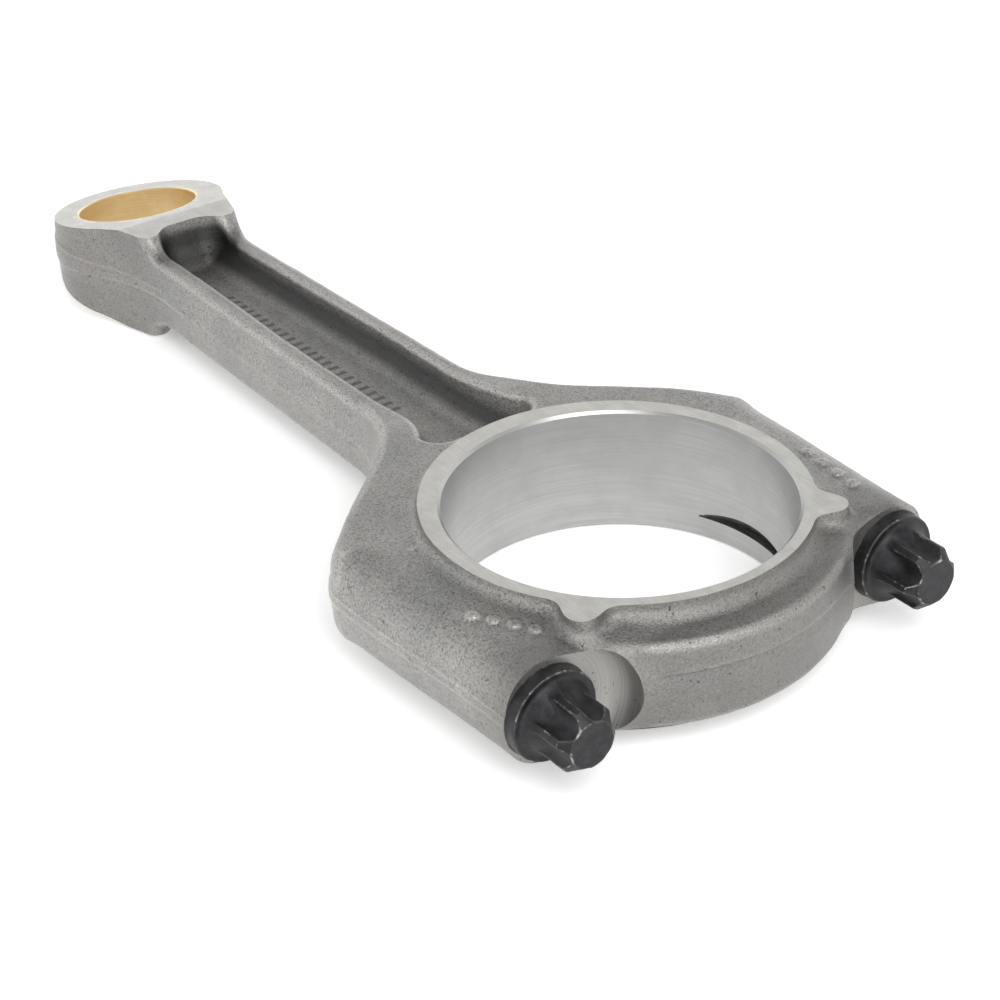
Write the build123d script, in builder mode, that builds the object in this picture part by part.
from build123d import *
import os
from math import radians, tan

# Connecting rod with a fracture-split big end, a wedge-shaped small end, a pressed bush and two cap bolts.
# Origin at the centre of the big-end bore, half-way through its width. +X runs along the shank to the small
# end, +Z along both bores, and the rod and cap part on the YZ plane. Millimetres.

# Driving dimensions
centre_distance = 165.0
big_end_width = 23.4
big_bore_radius = 29.5
pin_bore_radius = 12.5
bush_wall = 1.5
eye_radius = 18.3
wedge_angle = 10.66
wedge_half_thickness = 8.23
flat_half_thickness = 11.15
bolt_offset = 35.5
bolt_seat = 26.6
bolt_length = 45.0
bolt_radius = 4.4

# Forging
half_width = big_end_width / 2
block_height = 9.3
block_corner = 7.2
block_end = 49.5
block_end_y = 13.6
shoulder_x = 21.0
shoulder_y = 45.2
shoulder_corner = 6.5
boss_y = 43.3
boss_end = 32.0
crest_height = 7.6
crest_corner = 1.4
shank_start = 30.0
shank_draft = 7.5
shank_wide = 13.0
shank_wide_x = 60.0
shank_narrow = 11.3
neck_radius = 50.0
neck_step = 3.0
neck_slope = 5.0
arch_radius = 38.0
arch_crown = 1.3
arch_edge = 1.4
ring_radius = 32.8
ring_shift = 0.9
ear_angle = 131.5
ear_reach = 37.0
ear_half_base = 7.5
ear_corner = 2.2
ear_root = 4.0
web_half_thickness = 2.0
pocket_draft = 10.0
pocket_start = 38.5
pocket_wide = 7.2
pocket_end = 143.5
pocket_narrow = 5.8
pocket_end_corner = 4.5
pocket_floor_corner = 2.4

# Machining
big_bore_chamfer = 0.5
bush_chamfer = 0.25
bush_bore_radius = pin_bore_radius + bush_wall
seat_radius = 8.7
seat_corner = 5.7
bolt_hole_radius = 4.7
bolt_hole_depth = 20.5
bolt_hole_point = 2.4
notch_cutter_radius = 18.8
notch_depth = 1.6
notch_low = 5.2
notch_high = 7.6

# Cap bolts, with an external six-lobe head on a flange
flange_radius = 7.83
flange_thickness = 2.3
flange_edge = 0.25
collar_radius = 6.0
collar_height = 0.9
lobe_radius = 5.65
lobe_valley = 2.3
lobe_valley_centre = 6.45
lobe_corner = 0.35
head_end = 37.35
head_end_radius = 4.0
head_bevel_length = 1.4
waist_radius = 3.9
waist_start = 24.5
waist_end = 5.0
thread_start = 1.5
thread_pitch = 1.25
thread_depth = 0.7
thread_turns = 13
left_bolt_turn = 16.0
right_bolt_turn = -2.0

os.makedirs("parts", exist_ok=True)

# Where the shank's straight side runs into the neck arc, and the neck arc into the eye
neck_y = shank_narrow + neck_radius
neck_x = centre_distance - ((eye_radius + neck_radius) ** 2 - neck_y**2) ** 0.5
eye_share = eye_radius / (eye_radius + neck_radius)
eye_tangent_x = centre_distance + (neck_x - centre_distance) * eye_share
eye_tangent_y = neck_y * eye_share
wedge_slope = tan(radians(wedge_angle))
wedge_start = centre_distance - (flat_half_thickness - wedge_half_thickness) / wedge_slope
wedge_end = centre_distance + eye_radius + 1
wedge_end_z = wedge_half_thickness - (wedge_end - centre_distance) * wedge_slope
wedge_near_z = wedge_half_thickness + bush_bore_radius * wedge_slope
wedge_far_z = wedge_half_thickness - bush_bore_radius * wedge_slope

# Faces along a bolt, and the corners of its thread
flange_front = bolt_seat + flange_thickness
bolt_end = bolt_length - bolt_seat
lobe_root_radius = lobe_valley_centre - lobe_valley
thread_points = []
for turn in range(thread_turns):
    root_x = thread_start + (turn + 0.5) * thread_pitch
    crest_x = thread_start + (turn + 1) * thread_pitch
    thread_points += [(root_x, bolt_radius - thread_depth), (crest_x, bolt_radius)]

# The die's plug that presses the pocket in one side of the shank, rounded around its tip
with BuildPart() as pocket:
    with BuildSketch(Plane.XY.offset(web_half_thickness)) as pocket_floor:
        Polygon(
            (pocket_start, -pocket_wide),
            (pocket_end, -pocket_narrow),
            (pocket_end, pocket_narrow),
            (pocket_start, pocket_wide),
            align=None,
        )
        fillet(pocket_floor.vertices(), radius=pocket_end_corner)
    extrude(amount=half_width, taper=-pocket_draft)
    fillet(pocket.edges().group_by(Axis.Z)[0], radius=pocket_floor_corner)

# Drill and spot-face cutter for one bolt, drawn on the X axis, with a wide corner where it meets the arch
with BuildPart() as bolt_cut:
    with BuildSketch() as bolt_cut_profile:
        with BuildLine():
            Polyline(
                (-head_end, 0),
                (-head_end, seat_radius + seat_corner),
                (-bolt_seat - seat_corner, seat_radius + seat_corner),
            )
            RadiusArc(
                (-bolt_seat - seat_corner, seat_radius + seat_corner),
                (-bolt_seat, seat_radius),
                -seat_corner,
            )
            Polyline(
                (-bolt_seat, seat_radius),
                (-bolt_seat, bolt_hole_radius),
                (bolt_hole_depth, bolt_hole_radius),
                (bolt_hole_depth + bolt_hole_point, 0),
                (-head_end, 0),
            )
        make_face()
    revolve(axis=Axis.X)

# The forging's upper half comes first: both dies are alike, so the lower half is its mirror image.
with BuildPart() as forging:
    # Block around the big-end bore, with its shoulders and the two bolt bosses
    with BuildSketch() as block_plan:
        Polygon(
            (-boss_end, boss_y),
            (shoulder_x, shoulder_y),
            (block_end, block_end_y),
            (block_end, -block_end_y),
            (shoulder_x, -shoulder_y),
            (-boss_end, -boss_y),
            align=None,
        )
        fillet(block_plan.vertices().group_by(Axis.X)[1], radius=shoulder_corner)
    extrude(amount=block_height)
    block_rims = forging.edges().group_by(Axis.Z)[-1].sort_by(Axis.X)[1:]
    fillet(block_rims, radius=block_corner)

    # Arch of the cap, crowned and with a rounded rim
    with BuildSketch(Plane.XZ) as arch_section:
        Polygon(
            (big_bore_radius - 4, 0),
            (arch_radius + 0.3, 0),
            (arch_radius - 0.3, crest_height),
            (ring_radius, crest_height + arch_crown),
            (big_bore_radius - 4, crest_height + arch_crown),
            align=None,
        )
        arch_rim = arch_section.vertices().group_by(Axis.Y)[1]
        fillet(arch_rim, radius=arch_edge)
    revolve(axis=Axis.Z)

    # Shank, tapering in plan and drafted on its sides
    with BuildSketch() as shank_plan:
        Polygon(
            (shank_start, -shank_wide - 0.5),
            (shank_wide_x, -shank_wide),
            (neck_x, -shank_narrow),
            (centre_distance, -shank_narrow),
            (centre_distance, shank_narrow),
            (neck_x, shank_narrow),
            (shank_wide_x, shank_wide),
            (shank_start, shank_wide + 0.5),
            align=None,
        )
    extrude(amount=crest_height, taper=shank_draft)
    crest_face = forging.faces().filter_by(Plane.XY).sort_by(Axis.X)[-1]
    crest_rims = crest_face.edges().filter_by(lambda rim: abs(rim.center().Y) > shank_narrow / 2)
    fillet(crest_rims, radius=crest_corner)

    # Small-end eye, with a neck that runs out tangent to the shank
    with BuildSketch() as eye_plan:
        with BuildLine():
            Line((neck_x, 0), (neck_x, shank_narrow))
            RadiusArc((neck_x, shank_narrow), (eye_tangent_x, eye_tangent_y), neck_radius)
            RadiusArc((eye_tangent_x, eye_tangent_y), (centre_distance + eye_radius, 0), eye_radius)
            Line((centre_distance + eye_radius, 0), (neck_x, 0))
        make_face()
        mirror(about=Plane.XZ)
    extrude(amount=flat_half_thickness)
    with BuildSketch(Plane.XZ) as eye_faces:
        # Slope from the shank's crests up to the eye's flat
        Polygon(
            (neck_x - 1, crest_height),
            (neck_x + neck_step, crest_height),
            (neck_x + neck_step + neck_slope, flat_half_thickness + 1),
            (neck_x - 1, flat_half_thickness + 1),
            align=None,
        )
        # Wedge face
        Polygon(
            (wedge_start, flat_half_thickness),
            (wedge_end, wedge_end_z),
            (wedge_end, flat_half_thickness + 1),
            (wedge_start, flat_half_thickness + 1),
            align=None,
        )
    extrude(amount=2 * eye_radius, both=True, mode=Mode.SUBTRACT)

    # Lightening pocket between the shank's crests
    add(pocket.part, mode=Mode.SUBTRACT)

    # Raised ring for the big-end side faces, with an ear beside each bolt
    with BuildSketch() as ring_plan:
        with Locations((ring_shift, 0)):
            Circle(ring_radius)
        with Locations(Location((0, 0), ear_angle), Location((0, 0), -ear_angle)):
            Polygon(
                (big_bore_radius, ear_half_base),
                (ear_reach, ear_corner / 2),
                (ear_reach, -ear_corner / 2),
                (big_bore_radius, -ear_half_base),
                align=None,
            )
        ear_tips = ring_plan.vertices().sort_by_distance((0, 0))[-4:]
        fillet(ear_tips, radius=ear_corner)
        ear_roots = ring_plan.vertices().sort_by_distance((0, 0))[:4]
        fillet(ear_roots, radius=ear_root)
    extrude(amount=half_width)

    # The lower half
    mirror(about=Plane.XY)

    # Machining. Big-end bore, and the eye bored for its bush
    with BuildSketch(Plane.XY.offset(-half_width)):
        Circle(big_bore_radius)
        with Locations((centre_distance, 0)):
            Circle(bush_bore_radius)
    extrude(amount=big_end_width, mode=Mode.SUBTRACT)
    bore_mouths = (
        forging.edges()
        .filter_by(GeomType.CIRCLE)
        .filter_by(lambda edge: abs(edge.radius - big_bore_radius) < 0.01)
        .filter_by(lambda edge: abs(abs(edge.center().Z) - half_width) < 0.01)
    )
    chamfer(bore_mouths, length=big_bore_chamfer)

    # Locating notch for the bearing shells, cut by a disc across the joint
    with BuildSketch(Plane.XY.offset(-notch_high)):
        with Locations((0, notch_cutter_radius - big_bore_radius - notch_depth)):
            Circle(notch_cutter_radius)
    extrude(amount=notch_high - notch_low, mode=Mode.SUBTRACT)

    # Bolt holes and spot faces
    with Locations((0, bolt_offset, 0), (0, -bolt_offset, 0)):
        add(bolt_cut.part, mode=Mode.SUBTRACT)

# The finished forging is cracked in two across the big-end bore.
with BuildPart() as rod_body:
    add(forging.part)
    split(bisect_by=Plane.YZ, keep=Keep.TOP)

with BuildPart() as bearing_cap:
    add(forging.part)
    split(bisect_by=Plane.YZ, keep=Keep.BOTTOM)

# Bush pressed in the eye and faced off with it
with BuildPart() as small_end_bush:
    with BuildSketch(Plane.XZ) as bush_section:
        Polygon(
            (centre_distance - bush_bore_radius, wedge_near_z),
            (centre_distance + bush_bore_radius, wedge_far_z),
            (centre_distance + bush_bore_radius, -wedge_far_z),
            (centre_distance - bush_bore_radius, -wedge_near_z),
            align=None,
        )
    extrude(amount=bush_bore_radius, both=True)
    with BuildSketch(Plane.XY.offset(-half_width)):
        with Locations((centre_distance, 0)):
            Circle(bush_bore_radius)
    extrude(amount=big_end_width, mode=Mode.INTERSECT)
    with BuildSketch(Plane.XY.offset(-half_width)):
        with Locations((centre_distance, 0)):
            Circle(pin_bore_radius)
    extrude(amount=big_end_width, mode=Mode.SUBTRACT)
    pin_bore = small_end_bush.faces().filter_by(GeomType.CYLINDER).sort_by(SortBy.AREA)[0]
    chamfer(pin_bore.edges().filter_by(GeomType.ELLIPSE), length=bush_chamfer)

# Cap bolt, drawn on the X axis
with BuildPart() as cap_bolt:
    with BuildSketch() as bolt_profile:
        with BuildLine():
            Polyline(
                (-head_end, 0),
                (-head_end, lobe_root_radius),
                (-flange_front - collar_height, lobe_root_radius),
                (-flange_front - collar_height, lobe_radius),
                (-flange_front, collar_radius),
                (-flange_front, flange_radius - flange_edge),
                (-flange_front + flange_edge, flange_radius),
                (-bolt_seat, flange_radius),
                (-bolt_seat, bolt_radius),
                (-waist_start, bolt_radius),
                (-waist_start + 1, waist_radius),
                (-waist_end - 1, waist_radius),
                (-waist_end, bolt_radius),
                (thread_start, bolt_radius),
                *thread_points,
                (bolt_end - 1, bolt_radius),
                (bolt_end, bolt_radius - 1),
                (bolt_end, 0),
                close=True,
            )
        make_face()
    revolve(axis=Axis.X)
    with BuildSketch(Plane.YZ.offset(-head_end)) as lobes:
        Circle(lobe_radius)
        with PolarLocations(lobe_valley_centre, 6, start_angle=30):
            Circle(lobe_valley, mode=Mode.SUBTRACT)
        fillet(lobes.vertices(), radius=lobe_corner)
    extrude(amount=head_end - flange_front)
    # Cone that bevels the ends of the lobes
    with BuildSketch() as head_bevel:
        Polygon(
            (-head_end, head_end_radius),
            (-head_end, flange_radius),
            (-head_end + head_bevel_length, flange_radius),
            (-head_end + head_bevel_length, lobe_radius),
            align=None,
        )
    revolve(axis=Axis.X, mode=Mode.SUBTRACT)

with BuildPart() as bolt_left:
    with Locations(Location((0, bolt_offset, 0), (left_bolt_turn, 0, 0))):
        add(cap_bolt.part)

with BuildPart() as bolt_right:
    with Locations(Location((0, -bolt_offset, 0), (right_bolt_turn, 0, 0))):
        add(cap_bolt.part)

rod_body.part.label = "rod_body"
bearing_cap.part.label = "bearing_cap"
small_end_bush.part.label = "small_end_bush"
bolt_left.part.label = "bolt_left"
bolt_right.part.label = "bolt_right"
export_step(rod_body.part, "parts/rod_body.step")
export_step(bearing_cap.part, "parts/bearing_cap.step")
export_step(small_end_bush.part, "parts/small_end_bush.step")
export_step(bolt_left.part, "parts/bolt_left.step")
export_step(bolt_right.part, "parts/bolt_right.step")
